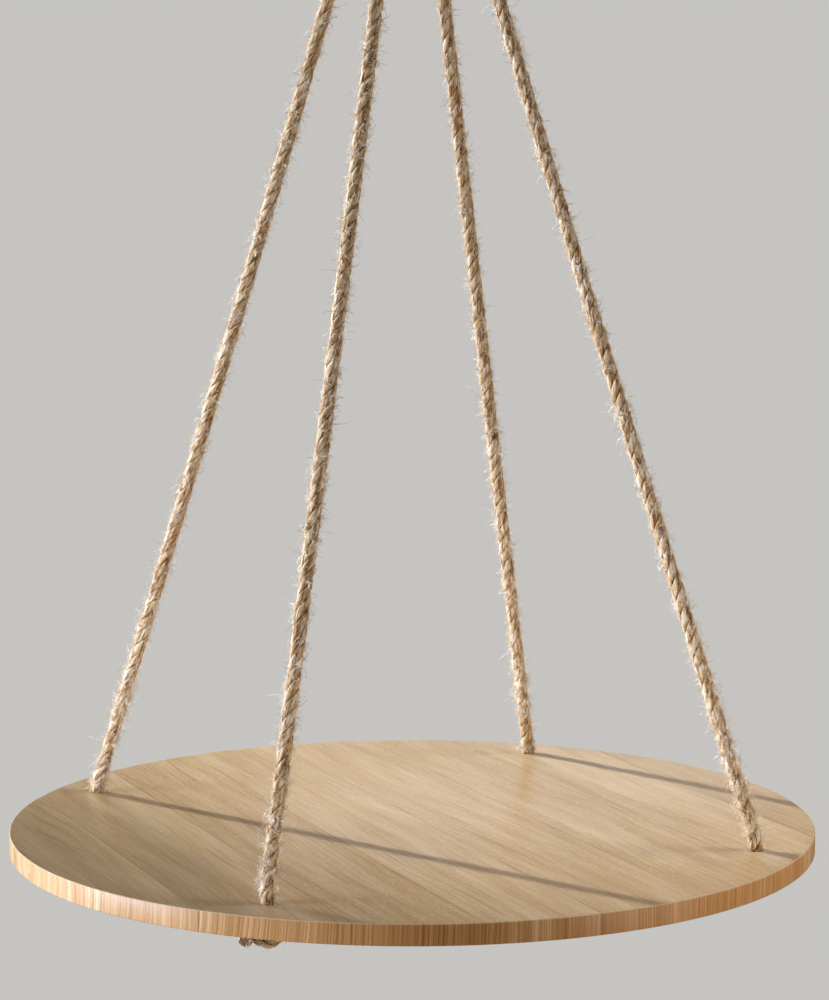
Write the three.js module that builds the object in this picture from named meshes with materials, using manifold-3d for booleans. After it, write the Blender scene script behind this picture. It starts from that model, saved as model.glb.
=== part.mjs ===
// Hanging rope shelf: a round board of edge-glued staves, hung by two folded ropes
// from a steel ring on a screw hook. Millimetres, +Z up. The origin is the point
// where the hook's axis meets the ceiling, so everything but its screw is below it.

import * as THREE from 'three';
import { mergeVertices } from 'three/addons/utils/BufferGeometryUtils.js';
import Module from 'manifold-3d';

// Board
const boardRadius = 300;
const boardThickness = 15;
const arrisRadius = 1; // rounding of the rim's edges and of the hole mouths
const glueLineWidth = 0.05; // between staves
const holeRimDistance = 35; // from a hole's axis out to the rim
const holeJointDistance = 27.4; // from a hole's axis in to the nearest glue joint, on average
const centreJointOffset = 5; // of all the glue joints, along +X
const innerJointCount = 2; // glue joints from the centre one out to the last one inside a hole
const sideJointCount = 3; // glue joints beside the centre one

// Rope
const ropeDiameter = 10;
const legDrop = 805; // from the foot of the whipping down to the board's top
const footLength = 13; // of the rope above the board that belongs to its knotted end

// Stopper knots, in rope that the pull has squeezed
const knotSqueezeShare = 0.74; // of the rope's own diameter that is left
const knotTurnGap = 0.6; // between turns that cross each other
const knotRadiusShare = 2.25; // of the knot's radius to half the distance between its turns
const knotEntryShare = 0.57; // of the bend out of the hole to the squeezed rope's diameter
const knotTailLength = 15;
const knotSwapsPerTurn = 1.5; // how often the crossing turns swap places
const knotStartTurn = 0.1; // where the rope drops into the first turn
const knotEndTurn = 1.75; // where it leaves, before it would meet itself

// Whipping
const twineDiameter = 3;
const twineTurnGap = 0.5;
const twineTurns = 10;

// Rope loop above the whipping
const loopHalfWidth = 20;
const loopNeckLength = 50; // from the whipping up to where the loop is widest

// Ring
const ringInsideDiameter = 40;
const ringWireDiameter = 6;

// Screw hook
const hookWireDiameter = 6;
const hookInsideDiameter = 24;
const hookNeckRadius = 6; // of the reverse bend that brings the bowl under the shank
const hookNeckLength = 3; // straight wire between the collar and that bend
const collarDiameter = 20;
const collarThickness = 3;
const collarArris = 0.6;
const screwLength = 30;
const screwCoreDiameter = 4.2;
const screwPointLength = 6;
const ridgeSpacing = 3;
const threadRidgeDiameter = 1.6;

// Clearances
const seatGap = 0.3; // between pieces that rest on or run along each other
const holeClearance = 0.5; // round a rope in its hole
const joinOverlap = 1; // how far the parts of one solid run into each other

// Legs, counterclockwise and evenly spread from the first. Angles are in degrees from +X.
const legNames = ['back_right', 'back_left', 'front_left', 'front_right'];
const firstLegAngle = 45;
const knotAngles = [200, 320, 280, 293]; // which way the knots are turned, in the legs' order
const hookTipAngle = 385; // where the wire ends, counted round the bowl

// The route of a rope from the whipping to its hole: each point is a share of the way
// out to the hole and a share of the way down to the board. It leaves the whipping
// upright, runs down with a slight sag towards the middle, and stands up at the board.
const legRouteShares = [
  [0, 0],
  [0, 0.006],
  [0.0025, 0.0135],
  [0.0115, 0.0235],
  [0.0493, 0.0618],
  [0.2018, 0.216],
  [0.395, 0.4087],
  [0.5913, 0.601],
  [0.7904, 0.7929],
  [0.9519, 0.9462],
  [0.9925, 0.9846],
  [0.9966, 0.9897],
  [0.9992, 0.9948],
  [1, 1],
];

// Facets
const rimSides = 144;
const holeSides = 20;
const arrisSteps = 2;
const ropeSides = 8;
const wireSides = 12;
const legSteps = 28;
const footSteps = 5;
const knotSteps = 44;
const knotGapSamples = 400;
const loopSteps = 36;
const loopSwellPoints = 6;
const loopArchPoints = 8;
const twineSides = 6;
const twineStepsPerTurn = 24;
const twineGapSamples = 1200;
const ringSteps = 36;
const hookSteps = 36;
const hookNeckPoints = 5;
const hookBowlPoints = 25;
const threadSides = 5;
const threadStepsPerTurn = 12;

// Sizes that follow
const legTurns = legNames.map((_, i) => {
  return THREE.MathUtils.degToRad(firstLegAngle) + (2 * Math.PI * i) / legNames.length;
});
const holeDiameter = ropeDiameter + 2 * holeClearance;
const holeCircleRadius = boardRadius - holeRimDistance;
const holeAcross = holeCircleRadius * Math.cos(legTurns[0]);
const staveWidth = (holeAcross - holeJointDistance) / innerJointCount;
const strandOffset = (ropeDiameter + seatGap) / 2;
const bundleRadius = strandOffset * Math.SQRT2;
const hookRadius = (hookInsideDiameter + hookWireDiameter) / 2;
const ringRadius = (ringInsideDiameter + ringWireDiameter) / 2;

// Heights that follow, from the ceiling down
const neckBendHeight = -collarThickness - hookNeckLength;
const bowlHeight = neckBendHeight - Math.sqrt((hookRadius + hookNeckRadius) ** 2 - hookNeckRadius ** 2);
const saddleHeight = bowlHeight - hookRadius;
const ringTopHeight = saddleHeight + (hookWireDiameter + ringWireDiameter) / 2 + seatGap;
const ringHeight = ringTopHeight - ringRadius;
const ropeInRingRadius = (ringInsideDiameter - ropeDiameter) / 2 - seatGap;
const loopTopHeight = ringHeight - Math.sqrt(ropeInRingRadius ** 2 - strandOffset ** 2);
const loopHeight = loopTopHeight - loopHalfWidth;
const whippingTopHeight = loopHeight - loopNeckLength;
const twinePitch = twineDiameter + twineTurnGap;
const whippingFootHeight = whippingTopHeight - twinePitch * twineTurns - twineDiameter;
const boardTopHeight = whippingFootHeight - legDrop;
const boardFootHeight = boardTopHeight - boardThickness;
const knotRopeDiameter = knotSqueezeShare * ropeDiameter;
const knotEntryRadius = knotEntryShare * knotRopeDiameter;
const knotSwing = (knotRopeDiameter + knotTurnGap) / 2;
const knotRadius = knotRadiusShare * knotSwing;
const knotHeight = boardFootHeight - seatGap - knotRopeDiameter / 2 - knotSwing;

// Materials
const lacqueredWood = new THREE.MeshStandardMaterial({ color: '#d2b48c', roughness: 0.42, metalness: 0 });
const juteRope = new THREE.MeshStandardMaterial({ color: '#b9976e', roughness: 0.95, metalness: 0 });
const juteTwine = new THREE.MeshStandardMaterial({ color: '#a8865c', roughness: 0.95, metalness: 0 });
const zincedSteel = new THREE.MeshStandardMaterial({ color: '#a9abad', roughness: 0.38, metalness: 1 });

const wasm = await Module();
wasm.setup();

// A closed geometry as a solid that can be joined and cut.
function solidOf(geometry) {
  const bare = geometry.clone();
  bare.deleteAttribute('normal');
  bare.deleteAttribute('uv');
  const merged = mergeVertices(bare);
  const corners = new Uint32Array(merged.index.array);
  return new wasm.Manifold(
    new wasm.Mesh({ numProp: 3, vertProperties: merged.attributes.position.array, triVerts: corners }),
  );
}

function geometryOf(solid) {
  const { vertProperties, triVerts } = solid.getMesh();
  const geometry = new THREE.BufferGeometry();
  geometry.setAttribute('position', new THREE.BufferAttribute(vertProperties, 3));
  geometry.setIndex(new THREE.BufferAttribute(triVerts, 1));
  geometry.computeVertexNormals();
  return geometry;
}

function pieceOf(name, geometry, material) {
  const piece = new THREE.Mesh(geometry, material);
  piece.name = name;
  return piece;
}

// The corners of a regular outline round a centre in the plane.
function roundOutline(radius, sides, centreX = 0, centreY = 0) {
  return Array.from({ length: sides }, (_, i) => {
    const turn = (2 * Math.PI * i) / sides;
    return new THREE.Vector2(centreX + radius * Math.cos(turn), centreY + radius * Math.sin(turn));
  });
}

// A closed tube along a curve.
function tubeAlong(curve, diameter, sides, steps) {
  curve.arcLengthDivisions = steps * 4;
  const section = new THREE.Shape(roundOutline(diameter / 2, sides));
  return new THREE.ExtrudeGeometry(section, { steps, extrudePath: curve });
}

function smoothCurve(points) {
  return new THREE.CatmullRomCurve3(points, false, 'centripetal');
}

// A point at a distance from the Z axis and turned round it.
function polarPoint(radius, turn, height) {
  return new THREE.Vector3(radius * Math.cos(turn), radius * Math.sin(turn), height);
}

// Board

function boardDisc() {
  const outline = new THREE.Shape(roundOutline(boardRadius, rimSides));
  for (const turn of legTurns) {
    const centre = polarPoint(holeCircleRadius, turn, 0);
    outline.holes.push(new THREE.Path(roundOutline(holeDiameter / 2, holeSides, centre.x, centre.y)));
  }
  const disc = new THREE.ExtrudeGeometry(outline, {
    depth: boardThickness - 2 * arrisRadius,
    bevelSize: arrisRadius,
    bevelOffset: -arrisRadius,
    bevelThickness: arrisRadius,
    bevelSegments: arrisSteps,
  });
  return solidOf(disc.translate(0, 0, boardFootHeight + arrisRadius));
}

// The disc is sawn along its glue joints into staves that run along Y.
function staves() {
  const disc = boardDisc();
  const edges = [-boardRadius - joinOverlap];
  for (let joint = -sideJointCount; joint <= sideJointCount; joint += 1) {
    edges.push(centreJointOffset + joint * staveWidth);
  }
  edges.push(boardRadius + joinOverlap);
  return edges.slice(1).map((edge, i) => {
    const width = edge - edges[i] - glueLineWidth;
    const length = 2 * (boardRadius + joinOverlap);
    const block = new THREE.BoxGeometry(width, length, boardThickness + 2 * joinOverlap);
    block.translate((edge + edges[i]) / 2, 0, boardFootHeight + boardThickness / 2);
    return pieceOf(`stave_${i + 1}`, geometryOf(disc.intersect(solidOf(block))), lacqueredWood);
  });
}

// Ropes

// A point of a leg's route, in the upright plane that holds the leg's hole and the Z axis.
function routePoint([outShare, downShare]) {
  const out = bundleRadius + outShare * (holeCircleRadius - bundleRadius);
  return new THREE.Vector3(out, 0, whippingFootHeight - downShare * legDrop);
}

// The whole way from the whipping down through the board, as one smooth line.
function wholeRoute() {
  const route = legRouteShares.map(routePoint);
  route.push(new THREE.Vector3(holeCircleRadius, 0, boardFootHeight + joinOverlap));
  return smoothCurve(route);
}

// A stretch of a line, from one length along it to another.
class Stretch extends THREE.Curve {
  constructor(line, from, to) {
    super();
    Object.assign(this, { line, from, to });
  }

  getPoint(share) {
    return this.line.getPointAt(THREE.MathUtils.lerp(this.from, this.to, share) / this.line.getLength());
  }
}

// A leg keeps half a gap to the strand above it and to its own knotted end.
function legRoute() {
  const line = wholeRoute();
  const end = line.getLength() - (boardThickness - joinOverlap) - footLength;
  return new Stretch(line, seatGap / 2, end - seatGap / 2);
}

function footRoute() {
  const line = wholeRoute();
  const start = line.getLength() - (boardThickness - joinOverlap) - footLength;
  return new Stretch(line, start + seatGap / 2, line.getLength());
}

function ropeLeg(name, turn) {
  const leg = tubeAlong(legRoute(), ropeDiameter, ropeSides, legSteps);
  const piece = pieceOf(`rope_leg_${name}`, leg, juteRope);
  piece.rotation.z = turn;
  return piece;
}

// The centre line of an overhand knot lying flat under the board: turns round an upright
// axis that swap their places, top for bottom and in for out, as they go round. The rope
// drops into the top of the first turn and leaves on the outside.
function knotPoint(turns) {
  const turn = 2 * Math.PI * turns;
  const swap = knotSwapsPerTurn * turn;
  const radius = knotRadius - knotSwing * Math.sin(swap);
  const height = knotHeight + knotSwing * Math.cos(swap);
  return polarPoint(radius, turn, height);
}

// From the hole down into the knot, round it, and straight on into the tail.
function knotRoute() {
  const heading = knotPoint(knotStartTurn).sub(knotPoint(0)).setZ(0).normalize();
  const entry = knotPoint(knotStartTurn).addScaledVector(heading, -knotEntryRadius);
  const route = [knotRopeDiameter, joinOverlap, 0].map((height) => {
    return entry.clone().setZ(boardFootHeight + height);
  });
  route.push(knotPoint(knotStartTurn).addScaledVector(heading, -knotEntryRadius * (1 - Math.SQRT1_2))
    .setZ(knotHeight + knotSwing + knotEntryRadius * (1 - Math.SQRT1_2)));
  for (let i = 0; i < knotSteps; i += 1) {
    route.push(knotPoint(THREE.MathUtils.lerp(knotStartTurn, knotEndTurn, i / (knotSteps - 1))));
  }
  const last = route[route.length - 1];
  const onward = last.clone().sub(route[route.length - 2]).normalize();
  route.push(last.clone().addScaledVector(onward, knotTailLength / 2));
  route.push(last.clone().addScaledVector(onward, knotTailLength));
  return { route, entry };
}

// The least distance between two stretches of one tube, less its diameter.
function leastSelfGap(curve, diameter, samples) {
  const points = curve.getSpacedPoints(samples);
  const step = curve.getLength() / samples;
  const apart = Math.ceil((2 * diameter) / step);
  let least = Infinity;
  for (let i = 0; i < points.length; i += 1) {
    for (let j = i + apart; j < points.length; j += 1) {
      least = Math.min(least, points[i].distanceTo(points[j]));
    }
  }
  return least - diameter;
}

// The end of a rope: its foot above the board, its way through the hole, and its knot.
function ropeEnd(name, turn, knotTurn) {
  const { route, entry } = knotRoute();
  const line = smoothCurve(route);
  const coil = tubeAlong(line, knotRopeDiameter, ropeSides, knotSteps + footSteps);
  coil.translate(-entry.x, -entry.y, 0);
  coil.rotateZ(knotTurn - turn);
  coil.translate(holeCircleRadius, 0, 0);
  const foot = tubeAlong(footRoute(), ropeDiameter, ropeSides, footSteps);
  const piece = pieceOf(`knot_${name}`, geometryOf(solidOf(coil).add(solidOf(foot))), juteRope);
  piece.rotation.z = turn;
  return piece;
}

// The loop that a rope makes over the ring: upright out of the whipping, widening along a
// smooth swell, and half a circle over the top.
function loopRoute() {
  const neck = [whippingFootHeight + seatGap / 2, whippingTopHeight].map((height) => {
    return new THREE.Vector3(strandOffset, 0, height);
  });
  for (let i = 1; i <= loopSwellPoints; i += 1) {
    const share = i / loopSwellPoints;
    const wide = (1 - Math.cos(Math.PI * share)) / 2;
    const out = THREE.MathUtils.lerp(strandOffset, loopHalfWidth, wide);
    neck.push(new THREE.Vector3(out, 0, whippingTopHeight + share * loopNeckLength));
  }
  const arch = Array.from({ length: loopArchPoints - 1 }, (_, i) => {
    const turn = (Math.PI * (i + 1)) / loopArchPoints;
    const height = loopHeight + loopHalfWidth * Math.sin(turn);
    return new THREE.Vector3(loopHalfWidth * Math.cos(turn), 0, height);
  });
  const down = neck.map((point) => new THREE.Vector3(-point.x, 0, point.z)).reverse();
  return [...neck, ...arch, ...down];
}

function ropeLoop(name, side) {
  const loop = tubeAlong(smoothCurve(loopRoute()), ropeDiameter, ropeSides, loopSteps);
  const piece = pieceOf(`rope_loop_${name}`, loop, juteRope);
  piece.position.y = side * strandOffset;
  return piece;
}

// The whipping: twine wound round the four strands, along the rounded square that they
// make together. It climbs steadily and starts and ends in the middle of a straight side.
class WhippingCurve extends THREE.Curve {
  getPoint(share) {
    const cornerRadius = (ropeDiameter + twineDiameter) / 2 + seatGap;
    const side = 2 * strandOffset;
    const quarter = side + (Math.PI * cornerRadius) / 2;
    const travelled = share * twineTurns * 4;
    const quarterNumber = Math.floor(travelled);
    const along = (travelled - quarterNumber) * quarter;
    const point = new THREE.Vector2();
    if (along <= side / 2) {
      point.set(strandOffset + cornerRadius, along);
    } else if (along >= quarter - side / 2) {
      point.set(quarter - along, strandOffset + cornerRadius);
    } else {
      const turn = (along - side / 2) / cornerRadius;
      point.set(strandOffset + cornerRadius * Math.cos(turn), strandOffset + cornerRadius * Math.sin(turn));
    }
    point.rotateAround(new THREE.Vector2(), (quarterNumber * Math.PI) / 2);
    const height = whippingFootHeight + twineDiameter / 2 + (travelled * twinePitch) / 4;
    return new THREE.Vector3(point.x, point.y, height);
  }
}

function whipping() {
  const steps = twineTurns * twineStepsPerTurn;
  const twine = tubeAlong(new WhippingCurve(), twineDiameter, twineSides, steps);
  return pieceOf('top_whipping', twine, juteTwine);
}

// Ring and hook

function hangingRing() {
  const ring = new THREE.TorusGeometry(ringRadius, ringWireDiameter / 2, wireSides, ringSteps);
  const piece = pieceOf('hanging_ring', ring, zincedSteel);
  piece.rotation.y = Math.PI / 2;
  piece.position.z = ringHeight;
  return piece;
}

// Points along a circle in the XZ plane, from one angle to another.
function arcInPlane(centreX, centreZ, radius, fromTurn, toTurn, count) {
  return Array.from({ length: count }, (_, i) => {
    const turn = THREE.MathUtils.lerp(fromTurn, toTurn, i / (count - 1));
    return new THREE.Vector3(centreX + radius * Math.cos(turn), 0, centreZ + radius * Math.sin(turn));
  });
}

// The wire of the hook: straight down out of the collar, back round the neck bend, and
// round the bowl, which brings the saddle straight below the screw.
function hookWire() {
  const neckTurn = Math.acos(hookNeckRadius / (hookRadius + hookNeckRadius));
  const tipTurn = THREE.MathUtils.degToRad(hookTipAngle);
  const neck = arcInPlane(-hookNeckRadius, neckBendHeight, hookNeckRadius, 0, -neckTurn, hookNeckPoints);
  const bowl = arcInPlane(0, bowlHeight, hookRadius, Math.PI - neckTurn, tipTurn, hookBowlPoints);
  const top = new THREE.Vector3(0, 0, -collarThickness + joinOverlap);
  const route = smoothCurve([top, ...neck, ...bowl.slice(1)]);
  const tip = new THREE.SphereGeometry(hookWireDiameter / 2, wireSides, wireSides / 2);
  tip.translate(...bowl[bowl.length - 1].toArray());
  return solidOf(tubeAlong(route, hookWireDiameter, wireSides, hookSteps)).add(solidOf(tip));
}

// A solid of revolution about Z, from its half outline given upwards.
function turned(outline, sides) {
  const points = outline.map(([radius, height]) => new THREE.Vector2(radius, height));
  return solidOf(new THREE.LatheGeometry(points, sides).rotateX(Math.PI / 2));
}

function collar() {
  const radius = collarDiameter / 2;
  return turned([
    [0, -collarThickness],
    [radius - collarArris, -collarThickness],
    [radius, -collarThickness + collarArris],
    [radius, -collarArris],
    [radius - collarArris, 0],
    [0, 0],
  ], 2 * wireSides);
}

function screw() {
  const coreRadius = screwCoreDiameter / 2;
  const core = turned([
    [0, -collarThickness / 2],
    [coreRadius, -collarThickness / 2],
    [coreRadius, screwLength - screwPointLength],
    [0, screwLength],
  ], wireSides);
  const turns = Math.floor((screwLength - screwPointLength) / ridgeSpacing) - 1;
  const ridge = Array.from({ length: turns * threadStepsPerTurn + 1 }, (_, i) => {
    const turn = i / threadStepsPerTurn;
    return polarPoint(coreRadius, -2 * Math.PI * turn, (1 + turn) * ridgeSpacing);
  });
  const steps = ridge.length - 1;
  return core.add(solidOf(tubeAlong(smoothCurve(ridge), threadRidgeDiameter, threadSides, steps)));
}

function screwHook() {
  return pieceOf('ceiling_hook', geometryOf(hookWire().add(collar()).add(screw())), zincedSteel);
}

const shelf = new THREE.Group();
shelf.name = 'hanging_rope_shelf';
shelf.add(screwHook());
shelf.add(hangingRing());
shelf.add(ropeLoop('front', -1));
shelf.add(ropeLoop('back', 1));
shelf.add(whipping());
legNames.forEach((name, i) => {
  shelf.add(ropeLeg(name, legTurns[i]));
  shelf.add(ropeEnd(name, legTurns[i], THREE.MathUtils.degToRad(knotAngles[i])));
});
shelf.add(...staves());

const knotGap = leastSelfGap(smoothCurve(knotRoute().route), knotRopeDiameter, knotGapSamples);
const whippingGap = leastSelfGap(new WhippingCurve(), twineDiameter, twineGapSamples);
const [knotGapText, whippingGapText] = [knotGap, whippingGap].map((gap) => gap.toFixed(2));
console.log(`least gap of a knot to itself ${knotGapText} mm, of the whipping ${whippingGapText} mm`);
const strandLength = legRoute().getLength() + footRoute().getLength()
  + smoothCurve(knotRoute().route.slice(1)).getLength();
const loopLength = smoothCurve(loopRoute()).getLength();
console.log(`each rope is ${(loopLength + 2 * strandLength).toFixed(0)} mm long`);

export default shelf;
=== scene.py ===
from functools import partial
import math

import bmesh
import bpy
import numpy as np
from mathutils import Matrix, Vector


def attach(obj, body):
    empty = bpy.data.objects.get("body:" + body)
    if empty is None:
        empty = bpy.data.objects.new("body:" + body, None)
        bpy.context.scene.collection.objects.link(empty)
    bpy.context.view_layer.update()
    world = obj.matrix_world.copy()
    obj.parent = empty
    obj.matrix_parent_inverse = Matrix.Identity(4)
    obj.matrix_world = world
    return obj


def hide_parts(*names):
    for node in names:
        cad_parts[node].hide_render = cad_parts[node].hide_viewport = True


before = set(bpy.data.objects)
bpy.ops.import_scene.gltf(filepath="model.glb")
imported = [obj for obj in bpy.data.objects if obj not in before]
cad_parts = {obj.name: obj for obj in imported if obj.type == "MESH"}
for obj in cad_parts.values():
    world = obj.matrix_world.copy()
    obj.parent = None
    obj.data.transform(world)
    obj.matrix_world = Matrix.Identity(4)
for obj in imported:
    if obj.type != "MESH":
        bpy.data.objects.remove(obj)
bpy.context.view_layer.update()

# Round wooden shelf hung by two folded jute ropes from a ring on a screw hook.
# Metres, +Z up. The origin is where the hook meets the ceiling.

mm = 0.001
nodeFamilies = ("ShaderNode", "GeometryNode", "FunctionNode", "Node")
zAxis = np.array((0.0, 0.0, 1.0))


# Small tools

def srgb(hexColour):
    # sRGB hex to the linear values that Blender's sockets take
    values = [int(hexColour[i:i + 2], 16) / 255 for i in (1, 3, 5)]
    return [v / 12.92 if v <= 0.04045 else ((v + 0.055) / 1.055) ** 2.4 for v in values] + [1.0]


def addNode(tree, kind, links=(), **settings):
    # One node with its settings. Its family's name is left out of kind, and an operation follows
    # it. links gives the inputs in order, or maps them by number, name or identifier: to a value,
    # to a socket or to a node, which stands for its first output
    kind, _, operation = kind.partition(" ")
    family = next(name for name in nodeFamilies if hasattr(bpy.types, name + kind))
    node = tree.nodes.new(family + kind)
    if operation:
        node.operation = operation
    for key, value in settings.items():
        setattr(node, key, value)
    links = links if isinstance(links, dict) else dict(enumerate(links))
    for key, source in links.items():
        if isinstance(key, int):
            target = node.inputs[key]
        else:
            target = next(s for s in node.inputs if s.enabled and key in (s.identifier, s.name))
        if isinstance(source, bpy.types.Node):
            source = next(s for s in source.outputs if s.enabled)
        if isinstance(source, bpy.types.NodeSocket):
            tree.links.new(source, target)
        else:
            target.default_value = source
    return node


def paintRamp(ramp, stops):
    # fills a colour ramp from a dictionary of place to sRGB hex
    elements = ramp.color_ramp.elements
    while len(elements) < len(stops):
        elements.new(0.5)
    for element, place in zip(elements, sorted(stops)):
        element.position = place
    for element, place in zip(elements, sorted(stops)):
        element.color = srgb(stops[place])


def addObject(name, data):
    obj = bpy.data.objects.new(name, data)
    bpy.context.scene.collection.objects.link(obj)
    return obj


def meshFrom(name, points, faces, edges=()):
    mesh = bpy.data.meshes.new(name)
    mesh.from_pydata([tuple(p) for p in points], list(edges), list(faces))
    mesh.update()
    return mesh


def setAttribute(mesh, name, values):
    layer = mesh.attributes.new(name, "FLOAT", "POINT")
    layer.data.foreach_set("value", np.asarray(values, np.float32))


def smoothShading(mesh, sharpDegrees=35):
    # smooth faces with creases kept sharp, and normals made to point outwards
    bm = bmesh.new()
    bm.from_mesh(mesh)
    bmesh.ops.recalc_face_normals(bm, faces=bm.faces)
    for face in bm.faces:
        face.smooth = True
    for edge in bm.edges:
        if len(edge.link_faces) == 2 and edge.calc_face_angle() > math.radians(sharpDegrees):
            edge.smooth = False
    bm.to_mesh(mesh)
    bm.free()


def finished(obj, body, slot, material, *nodes):
    # gives a piece its material and its body and hides the solids that it stands for; the slot is not used
    obj.data.materials.clear()
    obj.data.materials.append(material)
    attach(obj, body)
    if nodes:
        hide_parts(*nodes)
    return obj


def splinePoints(knots, step):
    # centripetal Catmull-Rom through the knots, sampled about every step along its length
    knots = np.asarray(knots, float)
    ends = [2 * knots[0] - knots[1], *knots, 2 * knots[-1] - knots[-2]]
    out = []
    for p0, p1, p2, p3 in zip(ends, ends[1:], ends[2:], ends[3:]):
        hops = (p1 - p0, p2 - p1, p3 - p2)
        d0, d1, d2 = (max(math.sqrt(np.linalg.norm(hop)), 1e-7) for hop in hops)
        m1 = (p1 - p0) / d0 - (p2 - p0) / (d0 + d1) + (p2 - p1) / d1
        m2 = (p2 - p1) / d1 - (p3 - p1) / (d1 + d2) + (p3 - p2) / d2
        t = np.linspace(0, 1, max(8, int(np.linalg.norm(p2 - p1) / (step / 4))), endpoint=False)[:, None]
        out.append((2 * t**3 - 3 * t**2 + 1) * p1 + (t**3 - 2 * t**2 + t) * m1 * d1
                   + (3 * t**2 - 2 * t**3) * p2 + (t**3 - t**2) * m2 * d1)
    return spaced(np.vstack([*out, knots[-1:]]), step)


def spaced(points, step):
    # the same line, with points an even step apart
    lengths = lengthsAlong(points)
    marks = np.linspace(0, lengths[-1], max(2, round(lengths[-1] / step)) + 1)
    return np.stack([np.interp(marks, lengths, points[:, k]) for k in range(3)], 1)


def lengthsAlong(points):
    return np.concatenate([[0], np.cumsum(np.linalg.norm(np.diff(points, axis=0), axis=1))])


def unit(vector):
    return vector / np.linalg.norm(vector)


def strip(low, high, count, shift=0):
    # faces between two rings of points that start at these numbers
    return [(low + j, low + (j + 1) % count, high + (j + 1 + shift) % count, high + (j + shift) % count)
            for j in range(count)]


def evenTurns(count):
    return np.arange(count) * 2 * np.pi / count


def smoothNoise(values, seed, period):
    # soft random waves of about one period, from -1 to 1, the same on every run
    rng = np.random.default_rng(seed)
    total = np.zeros(len(values))
    for share in (1.0, 0.61, 0.37):
        total += share * np.sin(2 * np.pi * values / (period * share) + rng.uniform(0, 6.28))
    return total / 1.98


def turnedAbout(points, turn):
    c, s = math.cos(turn), math.sin(turn)
    x, y, z = np.asarray(points, float).T
    return np.stack([x * c - y * s, x * s + y * c, z], 1)


def sweep(points, sections, closed=False):
    # skins sections, given as (sideways, upwards) offsets for every point, along a line
    points = np.asarray(points, float)
    count = len(points)
    ahead = np.roll(points, -1, 0) - np.roll(points, 1, 0)
    if not closed:
        ahead[0], ahead[-1] = points[1] - points[0], points[-1] - points[-2]
    ahead /= np.linalg.norm(ahead, axis=1)[:, None]
    anyWay = (0.31, 0.94, 0.12)  # along none of the lines
    side = unit(np.cross(ahead[0], anyWay))
    verts = []
    for i in range(count):
        side = unit(side - ahead[i] * side.dot(ahead[i]))
        up = np.cross(ahead[i], side)
        section = np.asarray(sections[i])
        verts.append(points[i] + section[:, :1] * side + section[:, 1:] * up)
    n = len(verts[0])
    rings = count if closed else count - 1
    faces = []
    for i in range(rings):
        shift = 0
        if closed and i == count - 1:
            gaps = [np.linalg.norm(verts[i] - np.roll(verts[0], -k, 0), axis=1).sum() for k in range(n)]
            shift = int(np.argmin(gaps))
        faces += strip(i * n, (i + 1) % count * n, n, shift)
    if not closed:
        faces += [tuple(range(n))[::-1], tuple((count - 1) * n + j for j in range(n))]
    return np.vstack(verts), faces


def roundSection(radius, sides):
    turns = evenTurns(sides)
    return np.stack([radius * np.cos(turns), radius * np.sin(turns)], 1)


def joined(parts):
    # several (points, faces) shells as one
    points, faces = [], []
    for shellPoints, shellFaces in parts:
        start = sum(len(p) for p in points)
        points.append(shellPoints)
        faces += [tuple(start + i for i in face) for face in shellFaces]
    return np.vstack(points), faces


def lathe(outline, sides):
    # a solid of revolution about Z from (radius, height) pairs whose ends lie on the axis
    points, faces = [], []
    for radius, z in outline[1:-1]:
        points += [(x, y, z) for x, y in roundSection(radius, sides)]
    points += [(0, 0, outline[0][1]), (0, 0, outline[-1][1])]
    rows = len(outline) - 2
    for i in range(rows - 1):
        faces += strip(i * sides, (i + 1) * sides, sides)
    first, last = rows * sides, rows * sides + 1
    for j in range(sides):
        k = (j + 1) % sides
        faces += [(first, k, j), (last, (rows - 1) * sides + j, (rows - 1) * sides + k)]
    return np.array(points), faces


# Camera: the photograph's own place and angle

cameraView = {
    "place": (-0.839, -1.925, -0.5001),
    "heading": (0.4003, 0.9164),
    "pitchDown": 6.6,
    "lens": 102.6,  # on a 36 mm sensor, along the frame's long side
}


def makeCamera(view):
    camera = addObject("camera", bpy.data.cameras.new("camera"))
    pitch = math.radians(view["pitchDown"])
    ahead = Vector((*[h * math.cos(pitch) for h in view["heading"]], -math.sin(pitch)))
    camera.location = view["place"]
    camera.rotation_euler = ahead.to_track_quat("-Z", "Y").to_euler()
    camera.data.lens = view["lens"]
    camera.data.sensor_width = 36
    bpy.context.scene.camera = camera


makeCamera(cameraView)
bpy.context.scene.view_settings.view_transform = "Standard"
print("camera placed")


# Routes of the ropes, as in the part's own source

rope = {
    "diameter": 10 * mm,
    "strandOffset": 5.15 * mm,
    "holeRadius": 265 * mm,  # of the circle that the holes lie on
    "legDrop": 805 * mm,
    "whippingFoot": -179.593 * mm,
    "whippingTop": -141.593 * mm,
    "loopHeight": -91.593 * mm,
    "loopHalfWidth": 20 * mm,
    "boardFoot": -999.593 * mm,
    "knotDiameter": 7.4 * mm,
    "squeezeReach": 6 * mm,  # above the board's foot, where the rope has its full width again
    "knotSwing": 4.0 * mm,
    "knotRadius": 9.0 * mm,
    "knotHeight": -1007.593 * mm,
    "knotEntryRadius": 4.218 * mm,
    "tailLength": 15 * mm,
    "knotWinds": 1.5,  # round the coil's own middle line, to one turn round its axis
    "knotStart": 0.1,
    "knotTurns": 1.65,
    "knotSteps": 44,
    "legEnd": 1 * mm,  # above the board's foot
    "knotFrom": 0.6 * mm,
    "swellSteps": 6,
    "archSteps": 8,
    "layLength": 32 * mm,
    "strandRadius": 2.4 * mm,
    "strands": 3,
    "sides": 16,
    "step": 1.9 * mm,
}
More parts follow.
